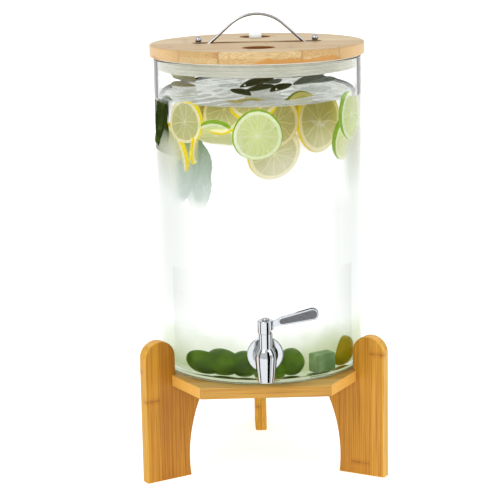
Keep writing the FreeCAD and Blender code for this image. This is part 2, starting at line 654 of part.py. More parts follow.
def make_vent_plug():
    y = "dims.recess_offset"
    gap = "dims.fit_gap"
    tab_bottom = "%s + %s" % (lid_top, gap)
    half = "dims.vent_width/2"
    front = "%s - dims.vent_tab_reach" % y
    tab = fuse(cylinder(half, "dims.vent_tab", y=y, z=tab_bottom),
               cylinder(half, "dims.vent_tab", y=front, z=tab_bottom),
               box("dims.vent_width", "dims.vent_tab_reach", "dims.vent_tab",
                   y="%s - dims.vent_tab_reach/2" % y, z=tab_bottom))
    neck = cylinder(half, "dims.recess_depth + 1", y=y, z="%s + %s" % (recess_floor, gap))
    stem = cylinder("dims.vent_stem", "dims.vent_stem_depth + dims.recess_depth", y=y,
                    z="%s - dims.vent_stem_depth" % recess_floor)
    joined = fuse(tab, neck, stem)
    joined.Refine = True
    level = number("%s + dims.vent_tab" % tab_bottom)
    keep("vent_plug", rounded(joined, "0.8", at_height(level)))


make_lid_board()
make_lid_plug()
make_lid_seal()
keep("lid_screws", group(*lid_screws()))
make_handle()
make_vent_plug()

# ---------------------------------------------------------------- test and write

doc.recompute()
for thing in doc.Objects:
    if "Invalid" in thing.State or "Error" in thing.State:
        raise RuntimeError("%s (%s) failed" % (thing.Name, thing.Label))
for name, piece in SUBPARTS.items():
    if piece.Shape.isNull() or not piece.Shape.isValid() or not piece.Shape.Solids:
        raise RuntimeError(name + " has no valid solid")

os.makedirs("parts", exist_ok=True)
for name, piece in SUBPARTS.items():
    piece.Shape.exportStep("parts/%s.step" % name)
    bounds = piece.Shape.BoundBox
    print("%-18s %2d solids %10.1f mm3  x %7.1f %7.1f  y %7.1f %7.1f  z %7.1f %7.1f" % (
        name, len(piece.Shape.Solids), piece.Shape.Volume, bounds.XMin, bounds.XMax, bounds.YMin,
        bounds.YMax, bounds.ZMin, bounds.ZMax))
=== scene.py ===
import math
import random

import bmesh
import bpy
from mathutils import Matrix, Vector


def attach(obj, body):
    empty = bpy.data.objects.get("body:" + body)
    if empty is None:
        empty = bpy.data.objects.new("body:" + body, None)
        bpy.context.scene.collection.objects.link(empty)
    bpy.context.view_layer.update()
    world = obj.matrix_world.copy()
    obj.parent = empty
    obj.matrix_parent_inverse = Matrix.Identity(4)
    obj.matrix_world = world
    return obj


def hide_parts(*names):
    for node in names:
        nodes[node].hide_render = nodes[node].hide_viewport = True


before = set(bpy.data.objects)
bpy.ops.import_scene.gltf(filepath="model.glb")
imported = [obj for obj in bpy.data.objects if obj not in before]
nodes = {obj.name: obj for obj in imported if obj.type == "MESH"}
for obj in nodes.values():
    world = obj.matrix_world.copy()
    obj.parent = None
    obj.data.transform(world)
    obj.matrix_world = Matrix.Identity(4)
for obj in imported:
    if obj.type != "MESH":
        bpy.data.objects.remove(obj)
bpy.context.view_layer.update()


def hexColor(text):
    # sRGB hex to the linear colour that shader sockets take
    channels = [int(text[i:i + 2], 16) / 255 for i in (1, 3, 5)]
    return tuple(c / 12.92 if c <= 0.04045 else ((c + 0.055) / 1.055) ** 2.4 for c in channels) + (1.0,)


def addNode(tree, kind, settings=None, **inputs):
    # one shader node: settings are its properties, inputs are values or sockets to link
    node = tree.nodes.new(kind)
    for name, value in (settings or {}).items():
        setattr(node, name, value)
    for name, value in inputs.items():
        key = int(name[1:]) if name[0] == "i" and name[1:].isdigit() else name.replace("_", " ")
        socket = node.inputs[key]
        if isinstance(value, bpy.types.NodeSocket):
            tree.links.new(value, socket)
        else:
            socket.default_value = value
    return node


def calc(tree, operation, *values):
    # the result of one step of arithmetic on numbers or sockets
    inputs = {"i%d" % i: value for i, value in enumerate(values)}
    return addNode(tree, "ShaderNodeMath", {"operation": operation}, **inputs).outputs[0]


def ranged(tree, value, low, high, start=0.0, end=1.0, smooth=False):
    # start where the value is at low, end where it is at high, and a ramp between
    settings = {"interpolation_type": "SMOOTHSTEP"} if smooth else None
    return addNode(tree, "ShaderNodeMapRange", settings, Value=value, From_Min=low, From_Max=high,
                   To_Min=start, To_Max=end).outputs[0]


def tinted(tree, factor, first, second, blend="MIX"):
    # two colours mixed, or the second multiplied onto the first
    return addNode(tree, "ShaderNodeMix", {"data_type": "RGBA", "blend_type": blend}, Factor=factor,
                   i6=first, i7=second).outputs[2]


def blended(tree, factor, first, second):
    return addNode(tree, "ShaderNodeMixShader", Fac=factor, i1=first.outputs[0], i2=second.outputs[0])


def newMaterial(name):
    material = bpy.data.materials.new(name)
    material.use_nodes = True
    material.node_tree.nodes.clear()
    return material, material.node_tree


def finishMaterial(tree, shader):
    addNode(tree, "ShaderNodeOutputMaterial", Surface=shader.outputs[0])


def dress(material, *names):
    for name in names:
        mesh = nodes[name].data
        mesh.materials.clear()
        mesh.materials.append(material)


def newObject(bm, name):
    mesh = bpy.data.meshes.new(name)
    bm.to_mesh(mesh)
    bm.free()
    thing = bpy.data.objects.new(name, mesh)
    bpy.context.scene.collection.objects.link(thing)
    return thing


def meshPiece(bm, name, material, body, smooth=True):
    piece = newObject(bm, name)
    for face in piece.data.polygons:
        face.use_smooth = smooth
    piece.data.materials.append(material)
    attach(piece, body)
    return piece


def bambooMaterial(name, wood):
    # laminated bamboo, planed and lacquered: strips with fine straight fibres, a darker
    # growth ring across each strip every hand's width, dotted fibre ends on end grain
    material, tree = newMaterial(name)
    coords = addNode(tree, "ShaderNodeTexCoord")
    # the mapping turns the pattern so that X runs along the grain and Y across the strips
    turned = addNode(tree, "ShaderNodeMapping", Vector=coords.outputs["Object"], Rotation=wood["turn"])
    axes = addNode(tree, "ShaderNodeSeparateXYZ", Vector=turned.outputs[0])
    along, across, deep = axes.outputs[0], axes.outputs[1], axes.outputs[2]

    rows = calc(tree, "DIVIDE", across, wood["stripWidth"])
    row = calc(tree, "FLOOR", rows)
    layers = calc(tree, "DIVIDE", deep, wood["stripDepth"])
    layer = calc(tree, "FLOOR", layers)
    strip = addNode(tree, "ShaderNodeCombineXYZ", X=row, Y=layer, Z=wood["seed"])
    chance = addNode(tree, "ShaderNodeTexWhiteNoise", {"noise_dimensions": "3D"}, Vector=strip.outputs[0])
    chanceParts = addNode(tree, "ShaderNodeSeparateColor", Color=chance.outputs["Color"])

    # fibres: noise drawn out along the grain, under 1 mm and about 3 mm wide across it
    slid = calc(tree, "MULTIPLY_ADD", chance.outputs["Value"], 3.0, along)
    grainSpace = addNode(tree, "ShaderNodeCombineXYZ", X=slid, Y=across, Z=deep)
    fine = addNode(tree, "ShaderNodeMapping", Vector=grainSpace.outputs[0],
                   Scale=(12, 1 / wood["fibreWidth"], 1 / wood["fibreWidth"]))
    fibres = addNode(tree, "ShaderNodeTexNoise", Vector=fine.outputs[0], Scale=1.0, Detail=3.0,
                     Roughness=0.6)
    coarse = addNode(tree, "ShaderNodeMapping", Vector=grainSpace.outputs[0], Scale=(7, 380, 380))
    streaks = addNode(tree, "ShaderNodeTexNoise", Vector=coarse.outputs[0], Scale=1.0, Detail=2.0)
    cloud = addNode(tree, "ShaderNodeTexNoise", Vector=grainSpace.outputs[0], Scale=22.0, Detail=2.0)

    tone = calc(tree, "MULTIPLY_ADD", streaks.outputs[0], wood["streakStrength"], chanceParts.outputs[0])
    toned = calc(tree, "MULTIPLY_ADD", cloud.outputs[0], 0.5, tone)
    base = addNode(tree, "ShaderNodeValToRGB",
                   Fac=ranged(tree, toned, 0.35, 1.15 + wood["streakStrength"]))
    ramp = base.color_ramp
    ramp.elements[0].color = hexColor(wood["deepTone"])
    ramp.elements[1].color = hexColor(wood["paleTone"])
    ramp.elements.new(0.5).color = hexColor(wood["midTone"])

    fibreMask = ranged(tree, fibres.outputs[0], 0.42, 0.68, end=wood["fibreStrength"])
    fibred = tinted(tree, fibreMask, base.outputs[0], hexColor(wood["fibreTone"]), "MULTIPLY")

    # growth rings: a thin dark line with a warm halo, at a place of its own on each strip
    ringPlace = calc(tree, "DIVIDE", slid, wood["ringSpacing"])
    ringStep = calc(tree, "FRACT", ringPlace)
    ringFar = calc(tree, "SUBTRACT", ringStep, 0.5)
    ringNear = calc(tree, "ABSOLUTE", ringFar)
    wander = calc(tree, "MULTIPLY_ADD", streaks.outputs[0], 0.014, ringNear)
    line = ranged(tree, wander, 0.014, 0.005, end=wood["ringStrength"], smooth=True)
    halo = ranged(tree, wander, 0.035, 0.005, end=wood["ringStrength"] * 0.45, smooth=True)
    warmed = tinted(tree, halo, fibred, hexColor(wood["haloTone"]), "MULTIPLY")
    ringed = tinted(tree, line, warmed, hexColor(wood["ringTone"]))

    # glue seams between strips
    seamFar = calc(tree, "PINGPONG", rows, 0.5)
    seamEdge = 0.0003 / wood["stripWidth"]
    seam = ranged(tree, seamFar, seamEdge * 2.2, seamEdge * 0.6, end=wood["seamStrength"])
    seamed = tinted(tree, seam, ringed, hexColor(wood["haloTone"]), "MULTIPLY")

    # end grain: fibre bundles cut across show as dots about 1 mm apart
    facing = addNode(tree, "ShaderNodeMapping", {"vector_type": "NORMAL"},
                     Vector=coords.outputs["Normal"], Rotation=wood["turn"])
    facingAxes = addNode(tree, "ShaderNodeSeparateXYZ", Vector=facing.outputs[0])
    facingGrain = calc(tree, "ABSOLUTE", facingAxes.outputs[0])
    endMask = ranged(tree, facingGrain, 0.7, 0.85)
    dots = addNode(tree, "ShaderNodeTexVoronoi", Vector=coords.outputs["Object"], Scale=900.0)
    dotMask = ranged(tree, dots.outputs["Distance"], 0.45, 0.1, end=0.55)
    dotted = tinted(tree, dotMask, hexColor(wood["endTone"]), hexColor(wood["ringTone"]))
    ended = tinted(tree, endMask, seamed, dotted)

    height = calc(tree, "MULTIPLY_ADD", seam, -1.5, fibres.outputs[0])
    bump = addNode(tree, "ShaderNodeBump", Height=height, Strength=0.25, Distance=0.0002)
    gloss = ranged(tree, fibres.outputs[0], 0, 1, wood["roughness"] - 0.06, wood["roughness"] + 0.1)
    shader = addNode(tree, "ShaderNodeBsdfPrincipled", Base_Color=ended, Roughness=gloss,
                     Normal=bump.outputs[0], Coat_Weight=wood["lacquer"], Coat_Roughness=0.25,
                     Specular_IOR_Level=0.3)
    finishMaterial(tree, shader)
    return material


def shadeLidRecesses(material):
    # painted shade darkens the channel and the recesses, where shade falls, and oil has soaked into
    # the lower edge of the rim in patches
    tree = material.node_tree
    shader = next(node for node in tree.nodes if node.type == "BSDF_PRINCIPLED")
    wood = shader.inputs["Base Color"].links[0].from_socket
    coords = addNode(tree, "ShaderNodeTexCoord")
    axes = addNode(tree, "ShaderNodeSeparateXYZ", Vector=coords.outputs["Object"])
    x, y, z = axes.outputs
    flat = addNode(tree, "ShaderNodeCombineXYZ", X=x, Y=y)
    reach = addNode(tree, "ShaderNodeVectorMath", {"operation": "LENGTH"}, i0=flat.outputs[0]).outputs[1]
    cloud = addNode(tree, "ShaderNodeTexNoise", Vector=coords.outputs["Object"], Scale=60.0, Detail=4.0,
                    Roughness=0.7)
    below = ranged(tree, z, lidTop - 0.0004, lidTop - 0.0009)
    within = ranged(tree, reach, 0.092, 0.090)
    inRecess = calc(tree, "MULTIPLY", below, within)
    # the painted shade is lightest in the middle of the channel, where its far wall catches the most light
    sideways = calc(tree, "ABSOLUTE", x)
    shadeAlong = ranged(tree, sideways, 0.006, 0.034, 0.35, 1.0, smooth=True)
    inChannel = calc(tree, "LESS_THAN", calc(tree, "ABSOLUTE", y), 0.02)
    strength = addNode(tree, "ShaderNodeMix", {"data_type": "FLOAT"}, Factor=inChannel, i2=0.9,
                       i3=shadeAlong)
    recessShade = calc(tree, "MULTIPLY", inRecess, strength.outputs[0])
    # dark browns of the painted shade on the recess walls
    shadeTone = tinted(tree, cloud.outputs[0], hexColor("#4a1c00"), hexColor("#8a4a10"))
    shadedWood = tinted(tree, recessShade, wood, shadeTone)
    broad = addNode(tree, "ShaderNodeTexNoise", Vector=coords.outputs["Object"], Scale=17.0, Detail=1.0)
    creep = ranged(tree, broad.outputs[0], 0.47, 0.68, 0.0, 0.0062)
    ragged = calc(tree, "MULTIPLY_ADD", cloud.outputs[0], 0.009, z)
    soaked = calc(tree, "SUBTRACT", ragged, lidTop - 0.0085)
    edge = calc(tree, "SUBTRACT", creep, soaked)
    patch = ranged(tree, edge, -0.0002, 0.0006)
    outer = ranged(tree, reach, 0.1015, 0.1022, end=0.75)
    oiled = calc(tree, "MULTIPLY", patch, outer)
    final = tinted(tree, oiled, shadedWood, hexColor("#b0782c"))
    tree.links.new(final, shader.inputs["Base Color"])


lidTop = 0.4185
legWood = {
    "stripWidth": 0.0062, "stripDepth": 0.02, "seed": 3.0, "fibreWidth": 0.0009, "streakStrength": 0.5,
    "deepTone": "#b27c1a", "midTone": "#cb9a28", "paleTone": "#e0b44a", "fibreTone": "#a87214",
    "fibreStrength": 0.6, "ringSpacing": 0.19, "ringStrength": 0.7, "ringTone": "#8e5a14",
    "haloTone": "#c68c30", "seamStrength": 0.4, "endTone": "#d6a24a", "roughness": 0.45, "lacquer": 0.04,
}
boardWood = dict(legWood, stripWidth=0.021, stripDepth=0.0055, seed=8.0, turn=(0, 0, 0),
                 deepTone="#b88834", midTone="#c69e4c", paleTone="#d8b970", streakStrength=0.35,
                 fibreWidth=0.0006, ringSpacing=0.24)
lidWood = dict(boardWood, stripWidth=0.024, seed=5.0, deepTone="#b89662", midTone="#c4ab7c",
               paleTone="#d2bf98", fibreTone="#ac8856", endTone="#c4a270", haloTone="#b48344",
               ringTone="#a0662c", ringStrength=0.4, roughness=0.4)

# each leg stands with its grain upright, so the pattern is turned to follow its own plane
legTurns = {"left": -150, "right": -30, "rear": 90}
for side, degrees in legTurns.items():
    turn = Matrix.Rotation(math.radians(90), 3, "Y") @ Matrix.Rotation(math.radians(-degrees), 3, "Z")
    wood = dict(legWood, seed=float(degrees % 7), turn=tuple(turn.to_euler()))
    dress(bambooMaterial("bambooLeg_" + side, wood), "stand_leg_" + side)
dress(bambooMaterial("bambooBoard", boardWood), "stand_board")
bambooLid = bambooMaterial("bambooLid", lidWood)
shadeLidRecesses(bambooLid)
dress(bambooLid, "lid_board", "lid_plug")
print("bamboo ready")


def chromeMaterial(name, tone, roughness):
    # bright chrome plate on a polished casting: mirror-like, with a faint uneven polish
    material, tree = newMaterial(name)
    coords = addNode(tree, "ShaderNodeTexCoord")
    polish = addNode(tree, "ShaderNodeTexNoise", Vector=coords.outputs["Object"], Scale=160.0, Detail=2.0)
    gloss = ranged(tree, polish.outputs[0], 0, 1, roughness * 0.6, roughness * 1.5)
    bump = addNode(tree, "ShaderNodeBump", Height=polish.outputs[0], Strength=0.05, Distance=0.0003)
    shader = addNode(tree, "ShaderNodeBsdfPrincipled", Base_Color=hexColor(tone), Metallic=1.0,
                     Roughness=gloss, Normal=bump.outputs[0])
    finishMaterial(tree, shader)
    return material


def turnedMetalMaterial(name, tone, roughness, spacing):
    # machined metal, with the fine rings that a turning tool leaves
    material, tree = newMaterial(name)
    coords = addNode(tree, "ShaderNodeTexCoord")
    rings = addNode(tree, "ShaderNodeTexWave", {"wave_type": "BANDS", "bands_direction": "Z"},
                    Vector=coords.outputs["Object"], Scale=1 / spacing, Distortion=0.3)
    gloss = ranged(tree, rings.outputs[1], 0, 1, roughness, roughness + 0.12)
    bump = addNode(tree, "ShaderNodeBump", Height=rings.outputs[1], Strength=0.2, Distance=0.0001)
    shader = addNode(tree, "ShaderNodeBsdfPrincipled", Base_Color=hexColor(tone), Metallic=1.0,
                     Roughness=gloss, Normal=bump.outputs[0])
    finishMaterial(tree, shader)
    return material


tapChrome = chromeMaterial("chromePlate", "#b6b9bd", 0.06)
wireChrome = chromeMaterial("polishedSteelWire", "#a9abae", 0.1)
screwSteel = turnedMetalMaterial("stainlessSteel", "#b9bbbd", 0.28, 0.004)
valveBrass = turnedMetalMaterial("turnedBrass", "#c9a35c", 0.25, 0.003)
dress(tapChrome, "tap_body", "tap_flange", "tap_lever", "lever_screw")
dress(wireChrome, "lid_handle", "handle_post_left", "handle_post_right")
dress(screwSteel, "stand_screws", "lid_screws", "tap_washer", "tap_nut")
dress(valveBrass, "valve_plug")
print("metals ready")


def siliconeMaterial(name, tone, roughness, glow):
    # moulded silicone: a soft satin skin, and painted light: an emission that makes it glow as if light
    # seeped through it
    material, tree = newMaterial(name)
    coords = addNode(tree, "ShaderNodeTexCoord")
    skin = addNode(tree, "ShaderNodeTexNoise", Vector=coords.outputs["Object"], Scale=900.0, Detail=2.0)
    cloud = addNode(tree, "ShaderNodeTexNoise", Vector=coords.outputs["Object"], Scale=18.0, Detail=2.0)
    shade = tinted(tree, ranged(tree, cloud.outputs[0], 0.35, 0.7, end=0.3), hexColor(tone),
                   hexColor("#c9cfc6"), "MULTIPLY")
    bump = addNode(tree, "ShaderNodeBump", Height=skin.outputs[0], Strength=0.12, Distance=0.0001)
    # the emission is painted light
    shader = addNode(tree, "ShaderNodeBsdfPrincipled", Base_Color=shade, Roughness=roughness,
                     Normal=bump.outputs[0], Subsurface_Weight=0.3, Subsurface_Radius=(0.6, 0.6, 0.6),
                     Subsurface_Scale=0.004, Emission_Color=shade, Emission_Strength=glow)
    finishMaterial(tree, shader)
    return material


def rubberMaterial(name, tone, grain, depth):
    # matt moulded rubber with a fine pebbled grip
    material, tree = newMaterial(name)
    coords = addNode(tree, "ShaderNodeTexCoord")
    pebbles = addNode(tree, "ShaderNodeTexVoronoi", {"feature": "SMOOTH_F1"},
                      Vector=coords.outputs["Object"], Scale=1 / grain)
    shade = tinted(tree, pebbles.outputs["Distance"], hexColor(tone[0]), hexColor(tone[1]))
    bump = addNode(tree, "ShaderNodeBump", Height=pebbles.outputs["Distance"], Strength=0.6,
                   Distance=depth)
    shader = addNode(tree, "ShaderNodeBsdfPrincipled", Base_Color=shade, Roughness=0.55,
                     Normal=bump.outputs[0])
    finishMaterial(tree, shader)
    return material


milkySilicone = siliconeMaterial("milkySilicone", "#d8d6cc", 0.38, 0.2)
whiteSilicone = siliconeMaterial("whiteSilicone", "#e4e7ea", 0.42, 0.0)
dress(milkySilicone, "lid_seal", "tap_gasket_outer", "tap_gasket_inner")
dress(whiteSilicone, "vent_plug")
dress(rubberMaterial("greyGripPad", ("#3c3d40", "#6c6e72"), 0.0009, 0.0002), "tap_lever_inlays")
dress(rubberMaterial("blackRubber", ("#111111", "#2a2a2a"), 0.0012, 0.0001), "valve_seals")
print("silicone and rubber ready")


def clearMaterial(name, tone, ior):
    # a clear body that light passes through: glass or water; the dark specular tint keeps the
    # white studio out of it where it is seen square on
    material, tree = newMaterial(name)
    shader = addNode(tree, "ShaderNodeBsdfPrincipled", Base_Color=hexColor(tone), Roughness=0.0, IOR=ior,
                     Transmission_Weight=1.0, Specular_Tint=hexColor("#5a5a5a"))
    finishMaterial(tree, shader)
    return material


def lathe(bm, profile, segments):
    # closed solid of revolution about Z from (radius, height) points listed upwards along the
    # outside and back down the inside; a radius of 0 gives a single pole vertex
    rows = []
    for radius, height in profile:
        if radius < 1e-7:
            rows.append([bm.verts.new((0, 0, height))])
        else:
            rows.append([bm.verts.new((radius * math.cos(2 * math.pi * i / segments),
                                       radius * math.sin(2 * math.pi * i / segments), height))
                         for i in range(segments)])
    pairs = list(zip(rows, rows[1:]))
    if len(rows[0]) > 1 and len(rows[-1]) > 1:
        pairs.append((rows[-1], rows[0]))
    for low, high in pairs:
        for i in range(segments):
            j = (i + 1) % segments
            if len(low) == 1 and len(high) == 1:
                continue
            if len(low) == 1:
                bm.faces.new((low[0], high[j], high[i]))
            elif len(high) == 1:
                bm.faces.new((low[i], low[j], high[0]))
            else:
                bm.faces.new((low[i], low[j], high[j], high[i]))
    bmesh.ops.recalc_face_normals(bm, faces=bm.faces)
    return rows


def arcPoints(centre, radius, start, end, steps):
    return [(centre[0] + radius * math.cos(math.radians(start + (end - start) * i / steps)),
             centre[1] + radius * math.sin(math.radians(start + (end - start) * i / steps)))
            for i in range(steps + 1)]


jar = {"radius": 0.100, "wall": 0.003, "under": 0.1051, "hollow": 0.0008, "foot": 0.084, "floor": 0.109,
       "rim": 0.406, "corner": 0.004, "segments": 256, "tint": "#fbfdfb", "holeHeight": 0.1365,
       "holeRadius": 0.0086, "belt": 0.0115}


def makeJar():
    inner = jar["radius"] - jar["wall"]
    corner, lip = jar["corner"], jar["wall"] * 0.45
    profile = [(0, jar["under"] + jar["hollow"]), (jar["foot"], jar["under"] + jar["hollow"]),
               (jar["foot"] + 2 * jar["hollow"], jar["under"])]
    profile += arcPoints((jar["radius"] - corner, jar["under"] + corner), corner, -90, 0, 10)
    # extra rows keep the shading clean above and below the tap's hole
    belt = [jar["holeHeight"] + step * jar["belt"] for step in (-1, 1)]
    profile += [(jar["radius"], height) for height in belt]
    profile += arcPoints((jar["radius"] - lip, jar["rim"] - lip), lip, 0, 90, 8)
    profile += arcPoints((inner + lip, jar["rim"] - lip), lip, 90, 180, 8)
    profile += [(inner, height) for height in reversed(belt)] + [(inner, jar["floor"] + corner)]
    profile += arcPoints((inner - corner, jar["floor"] + corner), corner, 0, -90, 10)[1:]
    profile += [(0, jar["floor"])]
    bm = bmesh.new()
    lathe(bm, profile, jar["segments"])
    blank = newObject(bm, "jarBlank")
    bm = bmesh.new()
    bmesh.ops.create_cone(bm, cap_ends=True, segments=64, radius1=jar["holeRadius"],
                          radius2=jar["holeRadius"], depth=0.02)
    bmesh.ops.rotate(bm, matrix=Matrix.Rotation(math.radians(90), 3, "X"), verts=bm.verts)
    bmesh.ops.translate(bm, vec=(0, -jar["radius"], jar["holeHeight"]), verts=bm.verts)
    drill = newObject(bm, "drill")
    hole = blank.modifiers.new("tapHole", "BOOLEAN")
    hole.operation = "DIFFERENCE"
    hole.solver = "EXACT"
    hole.object = drill
    graph = bpy.context.evaluated_depsgraph_get()
    drilled = bpy.data.meshes.new_from_object(blank.evaluated_get(graph))
    bm = bmesh.new()
    bm.from_mesh(drilled)
    for thing in (blank, drill):
        bpy.data.objects.remove(thing)
    for face in bm.faces:
        face.smooth = True
    piece = meshPiece(bm, "smoothJar", clearMaterial("sodaLimeGlass", jar["tint"], 1.47), "jar")
    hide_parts("glass_jar")


makeJar()
print("glass ready")


# fruitGlow stands for the light that the cloudy drink scatters onto the fruit
drink = {"level": 0.3675, "turn": -1.0, "meniscus": 0.0016, "ripple": 0.00035, "fruitGlow": 0.70,
         "hazeGlow": 1.15, "clearAbove": 0.336, "hazeRadius": 0.0755, "wallHaze": 0.0945,
         "wallHazeLow": 0.150, "wallHazeHigh": 0.345}
inside = jar["radius"] - jar["wall"]


def polar(azimuth, radius, height):
    # azimuth in degrees from the tap's side, positive to the right of it
    angle = math.radians(azimuth + drink["turn"])
    return Vector((radius * math.sin(angle), -radius * math.cos(angle), height))


def standing(azimuth, radius, height, face, lean, spin):
    # a flat piece on edge: its face looks out along the azimuth `face`, tipped up by `lean`
    return (Matrix.Translation(polar(azimuth, radius, height))
            @ Matrix.Rotation(math.radians(face + drink["turn"]), 4, "Z")
            @ Matrix.Rotation(math.radians(90 - lean), 4, "X")
            @ Matrix.Rotation(math.radians(spin), 4, "Z"))


def makeWater():
    wall = inside + 0.0001
    corner = jar["corner"]
    profile = [(0, jar["floor"] - 0.0001)]
    profile += arcPoints((wall - corner, jar["floor"] - 0.0001 + corner), corner, -90, 0, 8)
    profile += [(wall, drink["level"] + drink["meniscus"])]
    for step in range(1, 9):
        reach = 0.006 * step / 8
        profile.append((wall - reach, drink["level"] + drink["meniscus"] * math.exp(-reach / 0.0016)))
    rings = 44
    profile += [((wall - 0.006) * (1 - step / rings), drink["level"]) for step in range(1, rings + 1)]
    bm = bmesh.new()
    lathe(bm, profile, 192)
    for vert in bm.verts:
        reach = math.hypot(vert.co.x, vert.co.y)
        if vert.co.z > drink["level"] - 0.001 and reach < wall - 0.0005:
            calm = min(1, (wall - reach) / 0.012)
            wave = (math.sin(190 * vert.co.x + 60 * vert.co.y) + math.sin(-120 * vert.co.x + 260 * vert.co.y)
                    + 0.6 * math.sin(420 * vert.co.x - 170 * vert.co.y + 1.7))
            vert.co.z += drink["ripple"] * calm * wave
    meshPiece(bm, "drink_water", clearMaterial("drinkWater", "#ffffff", 1.333), "jar")


def hazeMaterial():
    # fruit juice clouding the drink, drawn as painted light: an emission, white through the middle,
    # grey-green over the fruit below
    material, tree = newMaterial("juiceHaze")
    coords = addNode(tree, "ShaderNodeTexCoord")
    drift = addNode(tree, "ShaderNodeTexNoise", Vector=coords.outputs["Object"], Scale=30.0, Detail=3.0)
    axes = addNode(tree, "ShaderNodeSeparateXYZ", Vector=coords.outputs["Object"])
    wandered = calc(tree, "MULTIPLY_ADD", drift.outputs[0], 0.03, axes.outputs[2])
    height = ranged(tree, wandered, jar["floor"] + 0.015, drink["level"] + 0.015)
    tones = [(0.0, "#aab68a"), (0.05, "#c6ceb0"), (0.11, "#e4e9dc"), (0.17, "#ffffff")]
    covers = [(0.0, "#e6e6e6"), (0.06, "#ffffff"), (0.74, "#ffffff"), (0.9, "#000000")]
    tone, cover = (addNode(tree, "ShaderNodeValToRGB", Fac=height) for _ in range(2))
    for ramp, stops in ((tone.color_ramp, tones), (cover.color_ramp, covers)):
        while len(ramp.elements) < len(stops):
            ramp.elements.new(0.5)
        for element, (spot, color) in zip(ramp.elements, stops):
            element.position = spot
            element.color = hexColor(color)
    # the right-hand side of the haze is the greener one
    green = ranged(tree, axes.outputs[0], -0.01, 0.06)
    low = ranged(tree, wandered, 0.185, 0.14, end=0.5)
    greenLow = calc(tree, "MULTIPLY", green, low)
    greened = tinted(tree, greenLow, tone.outputs[0], hexColor("#a4b078"))
    # painted light: the cloud glows instead of scattering the studio's light
    cloud = addNode(tree, "ShaderNodeEmission", Color=greened, Strength=drink["hazeGlow"])
    clear = addNode(tree, "ShaderNodeBsdfTransparent")
    finishMaterial(tree, blended(tree, cover.outputs[0], clear, cloud))
    return material


def wallHazeMaterial():
    # the same cloud, also painted light, against the wall: all the way round below the fruit, and higher up
    # only at the sides, where one looks through the most drink
    material, tree = newMaterial("juiceHazeAtWall")
    place = addNode(tree, "ShaderNodeTexCoord").outputs["Object"]
    drift = addNode(tree, "ShaderNodeTexNoise", Vector=place, Scale=26.0, Detail=2.0)
    axes = addNode(tree, "ShaderNodeSeparateXYZ", Vector=place)
    height = calc(tree, "MULTIPLY_ADD", drift.outputs[0], 0.02, axes.outputs[2])
    foot = ranged(tree, height, 0.160, 0.195)
    top = ranged(tree, height, 0.292, 0.270)
    sideways = calc(tree, "ABSOLUTE", axes.outputs[0])
    side = ranged(tree, sideways, 0.071, 0.0895, smooth=True)
    sideTop = ranged(tree, height, 0.348, 0.330)
    beside = calc(tree, "MULTIPLY", side, sideTop)
    either = calc(tree, "MAXIMUM", top, beside)
    cover = calc(tree, "MULTIPLY", either, foot)
    paled = ranged(tree, height, 0.340, 0.285)
    tone = tinted(tree, paled, hexColor("#c6caae"), hexColor("#f4f6f4"))
    aside = ranged(tree, sideways, 0.045, 0.092, smooth=True)
    white = tinted(tree, aside, (drink["hazeGlow"],) * 3 + (1,), tone)
    # painted light: the cloud glows as an emission
    cloud = addNode(tree, "ShaderNodeEmission", Color=white)
    clear = addNode(tree, "ShaderNodeBsdfTransparent")
    finishMaterial(tree, blended(tree, cover, clear, cloud))
    return material


def makeHaze():
    bm = bmesh.new()
    radius, low, high = drink["hazeRadius"], jar["floor"] + 0.001, drink["level"] - 0.003
    lathe(bm, [(0, low), (radius, low), (radius, high), (0, high)], 128)
    meshPiece(bm, "drink_haze", hazeMaterial(), "jar")
    bm = bmesh.new()
    outer, low, high = drink["wallHaze"], drink["wallHazeLow"], drink["wallHazeHigh"]
    lathe(bm, [(outer, low), (outer, high), (outer - 0.0003, high), (outer - 0.0003, low)], 192)
    meshPiece(bm, "drink_wall_haze", wallHazeMaterial(), "jar")

    # pulp and bubbles gather in a thin pale skin just under the surface, drawn as painted light: a glowing
    # emission
    material, tree = newMaterial("pulpSkin")
    coords = addNode(tree, "ShaderNodeTexCoord")
    drift = addNode(tree, "ShaderNodeTexNoise", Vector=coords.outputs["Object"], Scale=42.0, Detail=4.0)
    cover = ranged(tree, drift.outputs[0], 0.3, 0.55, 0.5, 0.95)
    tone = tinted(tree, drift.outputs[0], hexColor("#9fa39a"), hexColor("#dcdfd8"))
    foam = addNode(tree, "ShaderNodeEmission", Color=tone, Strength=1.0)
    clear = addNode(tree, "ShaderNodeBsdfTransparent")
    finishMaterial(tree, blended(tree, cover, clear, foam))
    bm = bmesh.new()
    lathe(bm, [(0, drink["level"] - 0.0024), (0.092, drink["level"] - 0.0024),
               (0.092, drink["level"] - 0.0020), (0, drink["level"] - 0.0020)], 96)
    meshPiece(bm, "drink_skin", material, "jar")


citrus = {
    "lemon": {"rind": "#f0dc00", "rindDeep": "#dcc200", "pith": "#faf7e4", "pulp": "#dad9ae",
              "pulpDeep": "#c4c592", "membrane": "#f3f2d4", "segments": 10},
    "lime": {"rind": "#94b426", "rindDeep": "#6c9612", "pith": "#f9fce6", "pulp": "#e6ebc6",
             "pulpDeep": "#d0d89c", "membrane": "#fbfce8", "segments": 12},
}


